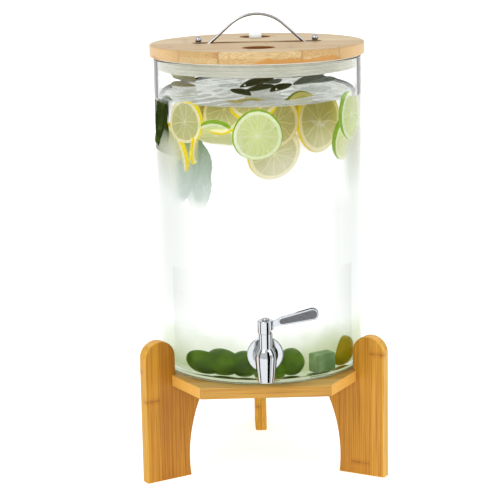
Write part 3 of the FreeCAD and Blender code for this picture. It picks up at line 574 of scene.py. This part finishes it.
def citrusMaterial(kind):
    # a wet slice of citrus: rind, pale pith, membranes and juicy pulp that light shines through
    fruit = citrus[kind]
    material, tree = newMaterial(kind + "Slice")
    uv = addNode(tree, "ShaderNodeUVMap", {"uv_map": "disc"})
    reach = addNode(tree, "ShaderNodeVectorMath", {"operation": "LENGTH"}, i0=uv.outputs[0])
    axes = addNode(tree, "ShaderNodeSeparateXYZ", Vector=uv.outputs[0])
    angle = calc(tree, "ARCTAN2", axes.outputs[1], axes.outputs[0])
    wobble = addNode(tree, "ShaderNodeTexNoise", Vector=uv.outputs[0], Scale=2.4, Detail=1.0)
    turned = calc(tree, "MULTIPLY_ADD", wobble.outputs[0], 0.35, angle)
    sector = calc(tree, "MULTIPLY", turned, fruit["segments"] / (2 * math.pi))
    fromWall = calc(tree, "PINGPONG", sector, 0.5)
    # membranes keep their width, so their share of the sector grows towards the middle
    wallWidth = calc(tree, "MULTIPLY", fromWall, reach.outputs["Value"])
    wall = ranged(tree, wallWidth, 0.035, 0.008, end=0.8, smooth=True)
    polarSpace = addNode(tree, "ShaderNodeCombineXYZ", X=turned, Y=reach.outputs["Value"])
    vesicleSpace = addNode(tree, "ShaderNodeMapping", Vector=polarSpace.outputs[0], Scale=(16, 3.0, 1))
    vesicles = addNode(tree, "ShaderNodeTexNoise", Vector=vesicleSpace.outputs[0], Scale=1.0, Detail=3.0)
    juice = ranged(tree, vesicles.outputs[0], 0.35, 0.7)
    pulp = tinted(tree, juice, hexColor(fruit["pulp"]), hexColor(fruit["pulpDeep"]))
    walled = tinted(tree, wall, pulp, hexColor(fruit["membrane"]))
    core = ranged(tree, reach.outputs["Value"], 0.09, 0.03, smooth=True)
    cored = tinted(tree, core, walled, hexColor(fruit["membrane"]))
    edge = calc(tree, "MULTIPLY_ADD", wobble.outputs[0], 0.03, reach.outputs["Value"])
    pithMask = ranged(tree, edge, 0.83, 0.87, smooth=True)
    pithed = tinted(tree, pithMask, cored, hexColor(fruit["pith"]))
    pores = addNode(tree, "ShaderNodeTexVoronoi",
                    Vector=addNode(tree, "ShaderNodeTexCoord").outputs["Object"], Scale=700.0)
    rind = tinted(tree, pores.outputs["Distance"], hexColor(fruit["rindDeep"]), hexColor(fruit["rind"]))
    rindMask = ranged(tree, edge, 0.965, 0.99, smooth=True)
    color = tinted(tree, rindMask, pithed, rind)
    # fruit away from the glass gets less light, and a yellower one
    place = addNode(tree, "ShaderNodeSeparateXYZ",
                    Vector=addNode(tree, "ShaderNodeTexCoord").outputs["Object"])
    flat = addNode(tree, "ShaderNodeCombineXYZ", X=place.outputs[0], Y=place.outputs[1])
    fromAxis = addNode(tree, "ShaderNodeVectorMath", {"operation": "LENGTH"}, i0=flat.outputs[0])
    lit = ranged(tree, fromAxis.outputs["Value"], 0.070, 0.089)
    yellowed = tinted(tree, 1.0, color, hexColor("#ded286"), "MULTIPLY")
    seen = tinted(tree, lit, yellowed, color)
    glowing = ranged(tree, lit, 0, 1, drink["fruitGlow"] * 0.55, drink["fruitGlow"])
    bump = addNode(tree, "ShaderNodeBump", Height=vesicles.outputs[0], Strength=0.3, Distance=0.0005)
    flesh = addNode(tree, "ShaderNodeBsdfPrincipled", Base_Color=seen, Roughness=0.35,
                    Normal=bump.outputs[0], Emission_Color=seen, Emission_Strength=glowing)
    glow = addNode(tree, "ShaderNodeBsdfTranslucent", Color=seen)
    # and lower down the haze lies in front of it, painted on as a pale glowing veil
    sunk = ranged(tree, place.outputs[2], drink["clearAbove"], drink["clearAbove"] - 0.035, end=0.6)
    inner = calc(tree, "SUBTRACT", 1.0, lit)
    veiled = calc(tree, "MULTIPLY", sunk, inner)
    veil = addNode(tree, "ShaderNodeEmission", Color=hexColor("#f6f7f2"))
    share = ranged(tree, rindMask, 0, 1, 0.55, 0.2)
    fruitFlesh = blended(tree, share, flesh, glow)
    finishMaterial(tree, blended(tree, veiled, fruitFlesh, veil))
    return material


# each slice: fruit, azimuth, radius and height of its middle, size, then the way it faces
slices = {
    "lemonLeft": ("lemon", -46.5, 0.0905, 0.3485, 0.0205, -46, 2, 20),
    "limeFront": ("lime", -1.2, 0.0925, 0.3398, 0.0224, 3, 3, 8),
    "lemonLowLeft": ("lemon", -65, 0.0835, 0.3100, 0.0262, -67, -6, 0),
    "lemonEdge": ("lemon", -44, 0.079, 0.3230, 0.0190, -112, 8, 40),
    "limeMiddle": ("lime", -27, 0.083, 0.3350, 0.0205, -24, -34, 15),
    "lemonFlat": ("lemon", -23, 0.076, 0.3530, 0.0215, -30, 50, 30),
    "lemonSurface": ("lemon", -4, 0.068, 0.3590, 0.0225, 0, 70, 10),
    "lemonBehind": ("lemon", 9.5, 0.0765, 0.3145, 0.0250, 20, -4, 25),
    "lemonTop": ("lemon", 11, 0.078, 0.3440, 0.0215, 22, 14, 0),
    "limeTop": ("lime", 42, 0.0645, 0.3450, 0.0290, 44, 16, 12),
    "lemonRight": ("lemon", 46, 0.0725, 0.3355, 0.0270, 48, 10, 33),
    "limeFarRight": ("lime", 66.5, 0.0905, 0.3480, 0.0238, 70, 2, 5),
    "limeLowRight": ("lime", 67, 0.083, 0.3205, 0.0235, 68, -6, 18),
    "lemonPale": ("lemon", 27, 0.066, 0.3130, 0.0210, 40, -10, 50),
    "lemonDeepLeft": ("lemon", -40, 0.050, 0.3440, 0.0220, -30, 40, 0),
    "limeDeepMiddle": ("lime", 3, 0.045, 0.3440, 0.0230, 10, 30, 0),
    "lemonDeepRight": ("lemon", 50, 0.055, 0.3440, 0.0230, 30, 25, 0),
    "limeDeepLeft": ("lime", -75, 0.055, 0.3460, 0.0210, -60, 25, 0),
    "limeBack": ("lime", 160, 0.060, 0.3440, 0.0230, 20, 35, 0),
    "lemonBack": ("lemon", -150, 0.065, 0.3440, 0.0230, -20, 45, 0),
}


def makeSlices():
    materials = {kind: citrusMaterial(kind) for kind in citrus}
    half = 0.0022
    for name, (kind, azimuth, radius, height, size, facing, lean, spin) in slices.items():
        profile = [(0, -half), (size * 0.5, -half), (size * 0.86, -half), (size - 0.0008, -half * 0.95)]
        profile += arcPoints((size - half * 0.5, 0), half * 0.6, -60, 60, 5)
        profile += [(size - 0.0008, half * 0.95), (size * 0.86, half), (size * 0.5, half), (0, half)]
        bm = bmesh.new()
        lathe(bm, profile, 72)
        disc = bm.loops.layers.uv.new("disc")
        for face in bm.faces:
            for loop in face.loops:
                loop[disc].uv = (loop.vert.co.x / size, loop.vert.co.y / size)
        for vert in bm.verts:
            # no fruit is quite round or flat
            turn = math.atan2(vert.co.y, vert.co.x)
            vert.co.z += 0.0009 * math.sin(2 * turn + spin) * (vert.co.to_2d().length / size) ** 2
            vert.co.x *= 1.0 + 0.02 * math.sin(spin)
        bm.transform(standing(azimuth, radius, height, facing, lean, spin))
        meshPiece(bm, "drink_" + name, materials[kind], "jar")


poreSpacing = 0.0011


def peelMaterial(name, tones):
    # waxy citrus peel, dimpled with oil glands
    material, tree = newMaterial(name)
    coords = addNode(tree, "ShaderNodeTexCoord")
    pores = addNode(tree, "ShaderNodeTexVoronoi", Vector=coords.outputs["Object"], Scale=1 / poreSpacing)
    patches = addNode(tree, "ShaderNodeTexNoise", Vector=coords.outputs["Object"], Scale=60.0, Detail=2.0)
    color = tinted(tree, ranged(tree, patches.outputs[0], 0.35, 0.7), hexColor(tones[0]),
                   hexColor(tones[1]))
    bump = addNode(tree, "ShaderNodeBump", Height=pores.outputs["Distance"], Strength=0.4,
                   Distance=0.0003)
    # the emission is painted light, standing for the light that the cloudy drink scatters onto the fruit
    shader = addNode(tree, "ShaderNodeBsdfPrincipled", Base_Color=color, Roughness=0.4,
                     Normal=bump.outputs[0], Emission_Color=color, Specular_IOR_Level=0.15,
                     Emission_Strength=drink["fruitGlow"] * 0.5)
    finishMaterial(tree, shader)
    return material


def settle(bm):
    # stand a piece on the jar's floor, up against the wall
    drop = jar["floor"] + 0.0006 - min(vert.co.z for vert in bm.verts)
    for _ in range(4):
        far = max(bm.verts, key=lambda vert: vert.co.to_2d().length)
        push = far.co.to_2d().normalized() * (inside - 0.0012 - far.co.to_2d().length)
        bmesh.ops.translate(bm, vec=(push.x, push.y, drop), verts=bm.verts)
        drop = 0


def wedge(name, peelSkin, flesh, size, normal, offset, spot):
    # a cut piece of fruit: part of a ball, sliced by a plane through a point near its middle
    bm = bmesh.new()
    bmesh.ops.create_uvsphere(bm, u_segments=48, v_segments=32, radius=1)
    cut = bmesh.ops.bisect_plane(bm, geom=bm.verts[:] + bm.edges[:] + bm.faces[:],
                                 plane_co=Vector(normal) * offset, plane_no=normal, clear_outer=True)
    rim = [e for e in cut["geom_cut"] if isinstance(e, bmesh.types.BMEdge)]
    for face in bmesh.ops.edgenet_fill(bm, edges=rim)["faces"]:
        face.material_index = 1
    bmesh.ops.scale(bm, vec=size, verts=bm.verts)
    bmesh.ops.recalc_face_normals(bm, faces=bm.faces)
    bm.transform(spot)
    settle(bm)
    piece = meshPiece(bm, "drink_" + name, peelSkin, "jar")
    piece.data.materials.append(flesh)
    for face in piece.data.polygons:
        if face.material_index == 1:
            face.use_smooth = False


# fruit on the jar's floor: its kind, half sizes, the cut's direction and how far out it lies, then
# azimuth, radius, the way it faces and spin
wedges = {
    "limeHalf": ("lime", (0.0185, 0.014, 0.013), (0.1, 1, 0.35), 0.25, -26, 0.080, -24, -8),
    "limeCrescent": ("lime", (0.021, 0.009, 0.012), (0, 1, 0.5), 0.1, -38, 0.084, -38, 0),
    "limeRound": ("lime", (0.0135, 0.013, 0.0125), (0, 1, -0.4), 0.7, -12, 0.083, -10, 0),
    "limeRight": ("lime", (0.0125, 0.014, 0.0130), (0.75, 0.5, 0.35), 0.6, 18, 0.082, 16, 0),
    "limeBelow": ("lime", (0.015, 0.012, 0.012), (0, 0, -1), 0.5, 4, 0.074, 0, 10),
    "lemonWedge": ("lemon", (0.018, 0.012, 0.014), (-0.5, 0.8, 0.2), 0.2, 58, 0.078, 50, 12),
}
cucumber = {"size": (0.021, 0.020, 0.018), "edge": 0.002, "azimuth": 39, "radius": 0.077, "face": 32,
            "spin": 4, "tones": ("#5c7a44", "#86a070")}


def makeWedges():
    skins = {"lime": (peelMaterial("limePeel", ("#35500a", "#567812")),
                      peelMaterial("limeFlesh", ("#aebc5e", "#c9d088"))),
             "lemon": (peelMaterial("lemonPeel", ("#a08600", "#7d7a0e")),
                       peelMaterial("lemonFlesh", ("#b9a83a", "#cfc46a")))}
    for name, (kind, size, normal, offset, azimuth, radius, facing, spin) in wedges.items():
        spot = standing(azimuth, radius, jar["floor"], facing, 90, spin)
        wedge(name, *skins[kind], size, normal, offset, spot)
    bm = bmesh.new()
    bmesh.ops.create_cube(bm, size=1)
    bmesh.ops.scale(bm, vec=cucumber["size"], verts=bm.verts)
    bmesh.ops.bevel(bm, geom=bm.edges[:], offset=cucumber["edge"], offset_type="OFFSET", affect="EDGES",
                    segments=3, profile=0.5, material=-1)
    bm.transform(standing(cucumber["azimuth"], cucumber["radius"], jar["floor"], cucumber["face"], 90,
                          cucumber["spin"]))
    settle(bm)
    meshPiece(bm, "drink_cucumber", peelMaterial("cucumberCube", cucumber["tones"]), "jar",
              smooth=False)


def leafMaterial(name, deep, pale, paintedGlowStrength, fadeHeight):
    # mint leaf: dark green blade, paler midrib and side veins
    material, tree = newMaterial(name)
    uv = addNode(tree, "ShaderNodeUVMap", {"uv_map": "leaf"})
    axes = addNode(tree, "ShaderNodeSeparateXYZ", Vector=uv.outputs[0])
    side = calc(tree, "ABSOLUTE", axes.outputs[0])
    slanted = calc(tree, "MULTIPLY_ADD", side, -0.5, axes.outputs[1])
    veins = calc(tree, "PINGPONG", slanted, 0.06)
    veinMask = ranged(tree, veins, 0.014, 0.004, end=0.6)
    ribMask = ranged(tree, side, 0.09, 0.03)
    either = calc(tree, "MAXIMUM", veinMask, ribMask)
    mottle = addNode(tree, "ShaderNodeTexNoise", Vector=uv.outputs[0], Scale=9.0, Detail=3.0)
    blade = tinted(tree, mottle.outputs[0], hexColor(deep), hexColor(pale))
    color = tinted(tree, either, blade, hexColor(pale))
    bump = addNode(tree, "ShaderNodeBump", Height=either, Strength=0.4, Distance=0.0006)
    # the emission is painted light
    skin = addNode(tree, "ShaderNodeBsdfPrincipled", Base_Color=color, Roughness=0.45,
                   Normal=bump.outputs[0], Emission_Color=color, Emission_Strength=paintedGlowStrength)
    glow = addNode(tree, "ShaderNodeBsdfTranslucent", Color=color)
    leaf = blended(tree, 0.35, skin, glow)
    if fadeHeight:
        # the cloudy drink swallows the lower ends of hanging leaves: they fade into a pale glowing emission,
        # painted light for the haze
        place = addNode(tree, "ShaderNodeSeparateXYZ",
                        Vector=addNode(tree, "ShaderNodeTexCoord").outputs["Object"])
        shown = ranged(tree, place.outputs[2], fadeHeight - 0.022, fadeHeight + 0.04, 0.25, 1.0)
        paled = ranged(tree, place.outputs[2], fadeHeight + 0.052, fadeHeight - 0.004, end=0.85)
        cloud = addNode(tree, "ShaderNodeEmission", Color=hexColor("#e2ebe9"))
        clear = addNode(tree, "ShaderNodeBsdfTransparent")
        leaf = blended(tree, shown, clear, blended(tree, paled, leaf, cloud))
    finishMaterial(tree, leaf)
    return material


def addLeaf(bm, spot, length, width, curl):
    # one pointed, toothed leaf, folded a little along its midrib and curled along its length
    leafUv = bm.loops.layers.uv.get("leaf") or bm.loops.layers.uv.new("leaf")
    rows, cols = 14, 6
    sheets = []
    for side in (1, -1):
        grid = []
        for i in range(rows + 1):
            along = i / rows
            half = width / 2 * math.sin(math.pi * min(1, along * 0.96 + 0.02)) ** 0.8
            half *= 1 + 0.07 * (i % 2)
            line = []
            for j in range(cols + 1):
                across = 2 * j / cols - 1
                point = Vector((half * across, length * along,
                                0.25 * abs(half * across) + curl * length * along ** 2 + side * 0.00022))
                line.append((bm.verts.new(spot @ point), (across, along)))
            grid.append(line)
        sheets.append(grid)
    for grid, flip in ((sheets[0], False), (sheets[1], True)):
        for i in range(rows):
            for j in range(cols):
                corners = [grid[i][j], grid[i][j + 1], grid[i + 1][j + 1], grid[i + 1][j]]
                if flip:
                    corners.reverse()
                face = bm.faces.new([c[0] for c in corners])
                for loop, corner in zip(face.loops, corners):
                    loop[leafUv].uv = corner[1]
    top, low = sheets
    rim = [(0, j) for j in range(cols)] + [(i, cols) for i in range(rows)]
    rim += [(rows, j) for j in range(cols, 0, -1)] + [(i, 0) for i in range(rows, 0, -1)]
    for k, (i, j) in enumerate(rim):
        m, n = rim[(k + 1) % len(rim)]
        corners = [top[i][j], low[i][j], low[m][n], top[m][n]]
        face = bm.faces.new([c[0] for c in corners])
        for loop, corner in zip(face.loops, corners):
            loop[leafUv].uv = corner[1]


# each sprig: deep and pale leaf colours, painted glow, the height it fades out at (0 for none), then its
# leaves as (azimuth, radius, height, face, lean, spin, length, width)
sprigs = {
    "mintLeft": ("#3c500a", "#66801c", 0.15, 0, [
        (-70, 0.088, 0.354, -70, 10, 150, 0.034, 0.024), (-79, 0.086, 0.362, -78, 5, 190, 0.040, 0.028),
        (-74, 0.085, 0.358, -74, 0, 170, 0.040, 0.030), (-82, 0.086, 0.348, -80, 0, 160, 0.034, 0.024),
        (-64, 0.089, 0.366, -66, 12, 110, 0.024, 0.016), (-83, 0.088, 0.350, -84, -4, 170, 0.026, 0.016),
        (-74, 0.087, 0.344, -66, 0, 190, 0.024, 0.016), (-69, 0.088, 0.338, -66, 0, 176, 0.020, 0.014)]),
    "mintHanging": ("#6f9070", "#b4c4a2", 0.45, 0.272, [
        (-52, 0.080, 0.322, -50, 4, 184, 0.050, 0.026), (-45, 0.080, 0.328, -44, 2, 172, 0.054, 0.026),
        (-61, 0.079, 0.312, -60, 6, 190, 0.044, 0.024), (-39, 0.081, 0.310, -40, 4, 188, 0.044, 0.022),
        (-56, 0.078, 0.304, -52, 0, 168, 0.044, 0.026), (-47, 0.0795, 0.338, -40, -4, 178, 0.040, 0.026),
        (-66, 0.079, 0.302, -66, -3, 176, 0.036, 0.022), (-49, 0.078, 0.300, -46, 2, 196, 0.040, 0.022),
        (-42, 0.079, 0.322, -40, 2, 200, 0.036, 0.022)]),
    "mintFloating": ("#232b0c", "#7c8a44", 0.1, 0, [
        (-120, 0.020, 0.3690, 0, 86, -80, 0.034, 0.026), (172, 0.040, 0.3695, 0, 84, -150, 0.030, 0.022),
        (-168, 0.064, 0.3695, 0, 84, 80, 0.030, 0.028), (150, 0.074, 0.3690, 0, 85, -70, 0.034, 0.024),
        (-40, 0.020, 0.3692, 0, 86, -100, 0.030, 0.024), (30, 0.024, 0.3692, 0, 86, -60, 0.024, 0.018),
        (-178, 0.076, 0.3700, 0, 80, 20, 0.024, 0.026), (-10, 0.040, 0.3690, 0, 88, 60, 0.022, 0.018)]),
    "mintGrey": ("#4c5a48", "#a9b7a4", 0.2, 0, [
        (118, 0.040, 0.3690, 0, 86, -80, 0.034, 0.026), (122, 0.060, 0.3690, 0, 85, -110, 0.030, 0.022),
        (136, 0.074, 0.3690, 0, 86, -50, 0.026, 0.020)]),
    "mintPale": ("#8f8752", "#cdc79a", 0.2, 0, [
        (-128, 0.080, 0.3690, 0, 86, 60, 0.032, 0.028), (-112, 0.066, 0.3690, 0, 86, 120, 0.028, 0.024)]),
}


def makeMint():
    for name, (deep, pale, paintedGlowStrength, fadeHeight, leaves) in sprigs.items():
        bm = bmesh.new()
        for azimuth, radius, height, face, lean, spin, length, width in leaves:
            addLeaf(bm, standing(azimuth, radius, height, face, lean, spin), length, width, 0.18)
        bmesh.ops.recalc_face_normals(bm, faces=bm.faces)
        material = leafMaterial(name + "Leaf", deep, pale, paintedGlowStrength, fadeHeight)
        meshPiece(bm, "drink_" + name, material, "jar")


def makeDroplets():
    # water drops left on the glass between the drink and the lid
    chance = random.Random(7)
    bm = bmesh.new()
    for _ in range(90):
        size = chance.uniform(0.0004, 0.0011)
        height = drink["level"] + 0.005 + 0.019 * chance.random() ** 1.3
        spot = Matrix.Translation(polar(chance.uniform(-180, 180), inside - size * 0.25, height))
        drop = bmesh.ops.create_icosphere(bm, subdivisions=2, radius=size)
        bmesh.ops.transform(bm, matrix=spot, verts=drop["verts"])
    meshPiece(bm, "drink_droplets", clearMaterial("waterDrops", "#ffffff", 1.333), "jar")


makeWater()
makeHaze()
makeSlices()
makeWedges()
makeMint()
makeDroplets()
print("drink ready")


studio = {
    "floorSize": 30.0, "floorTone": "#f7f7f6", "worldTone": "#ffffff", "worldStrength": 1.0,
    "cameraPlace": (-0.016, -1.6473, 0.5649), "lens": 123.06, "yaw": 0.2, "pitch": 12.02, "roll": 1.08,
    "around": 1.0,
}


def makeStage():
    bm = bmesh.new()
    bmesh.ops.create_grid(bm, x_segments=1, y_segments=1, size=studio["floorSize"] / 2)
    floor = newObject(bm, "floor")
    material, tree = newMaterial("paleFloor")
    shader = addNode(tree, "ShaderNodeBsdfPrincipled", Base_Color=hexColor(studio["floorTone"]),
                     Roughness=0.9, Emission_Color=(1, 1, 1, 1), Emission_Strength=0.5)
    finishMaterial(tree, shader)
    floor.data.materials.append(material)

    world = bpy.data.worlds.new("studioWorld")
    world.use_nodes = True
    bpy.context.scene.world = world
    world.node_tree.nodes["Background"].inputs["Color"].default_value = hexColor(studio["worldTone"])
    world.node_tree.nodes["Background"].inputs["Strength"].default_value = studio["worldStrength"]

    def softbox(name, place, target, size, power):
        light = bpy.data.lights.new(name, "AREA")
        light.shape = "RECTANGLE"
        light.size, light.size_y = size
        light.energy = power
        lamp = bpy.data.objects.new(name, light)
        bpy.context.scene.collection.objects.link(lamp)
        lamp.location = place
        lamp.rotation_euler = (Vector(target) - Vector(place)).to_track_quat("-Z", "Y").to_euler()
    softbox("keyLight", (-0.9, -1.2, 1.7), (0, 0, 0.25), (0.9, 0.9), 12)
    softbox("fillLight", (1.3, -1.0, 1.1), (0, 0, 0.2), (1.0, 1.0), 6)

    for name, settings in cards.items():
        makeCard(name, *settings)


# cards round the shot, each an upright arc about a point `front` of the jar's axis: reach, then
# azimuth from the camera's side (positive to the right), heights, brightness and the ray that sees it
# each card is seen by one kind of ray only, so it paints a dark or pale reflection, or a band seen through
# the glass, and nothing else
cards = {
    "chromeDark": (0.125, 0.42, 14, 44, 0.001, 0.5, "#050505", "glossy"),
    "chromeThin": (0.125, 0.42, 52, 58, 0.001, 0.5, "#101010", "glossy"),
    "chromeLeft": (0.125, 0.42, -86, -70, 0.001, 0.5, "#303234", "glossy"),
    "chromeRight": (0.125, 0.42, 84, 104, 0.001, 0.5, "#202224", "glossy"),
    "jarLeft": (0.0, 0.1035, -62, -15, 0.106, 0.21, "#24272a", "glossy"),
    "jarRight": (0.0, 0.1035, 15, 62, 0.106, 0.21, "#24272a", "glossy"),
    "waterlineLeft": (0.0, 0.1035, -92, -50, 0.318, 0.366, "#101410", "glossy"),
    "glassLeft": (0.0, 2.4, -128, -98, 0.0, 1.6, "#dfe3de", "transmission"),
    "glassRight": (0.0, 2.4, 98, 128, 0.0, 1.6, "#dfe3de", "transmission"),
}


def makeCard(name, front, reach, start, end, low, high, tone, seen):
    steps = 16
    bm = bmesh.new()
    edge = []
    for step in range(steps + 1):
        angle = math.radians(start + (end - start) * step / steps)
        away = (math.sin(angle), -math.cos(angle))
        rows = [(reach, low), (reach, high)]
        if name.startswith("chrome"):
            # these cards stand on a skirt that runs in along the floor
            rows.insert(0, (reach * 0.3, low))
        edge.append([bm.verts.new((far * away[0], far * away[1] - front, height)) for far, height in rows])
    for near, far in zip(edge, edge[1:]):
        for i in range(len(near) - 1):
            bm.faces.new((near[i], near[i + 1], far[i + 1], far[i]))
    card = newObject(bm, name)
    material, tree = newMaterial(name)
    # a card's brightness is its own, whatever the lights do
    finishMaterial(tree, addNode(tree, "ShaderNodeEmission", Color=hexColor(tone)))
    card.data.materials.append(material)
    for ray in ("camera", "diffuse", "glossy", "transmission", "shadow", "volume_scatter"):
        setattr(card, "visible_" + ray, ray == seen)


def makeCamera():
    camera = bpy.data.objects.new("camera", bpy.data.cameras.new("camera"))
    bpy.context.scene.collection.objects.link(camera)
    camera.data.lens = studio["lens"]
    camera.data.sensor_width = 36
    camera.data.clip_end = 100
    yaw, pitch, roll = (math.radians(studio[k]) for k in ("yaw", "pitch", "roll"))
    aim = Matrix.Rotation(-yaw, 4, "Z") @ Matrix.Rotation(math.pi / 2 - pitch, 4, "X")
    # a positive roll tips the camera clockwise, so the object leans the other way
    aim = aim @ Matrix.Rotation(-roll, 4, "Z")
    walk = Matrix.Rotation(-math.radians(studio["around"]), 4, "Z")
    camera.matrix_world = walk @ Matrix.Translation(studio["cameraPlace"]) @ aim
    bpy.context.scene.camera = camera


makeStage()
makeCamera()
bpy.context.scene.view_settings.view_transform = "Standard"
print("stage ready")
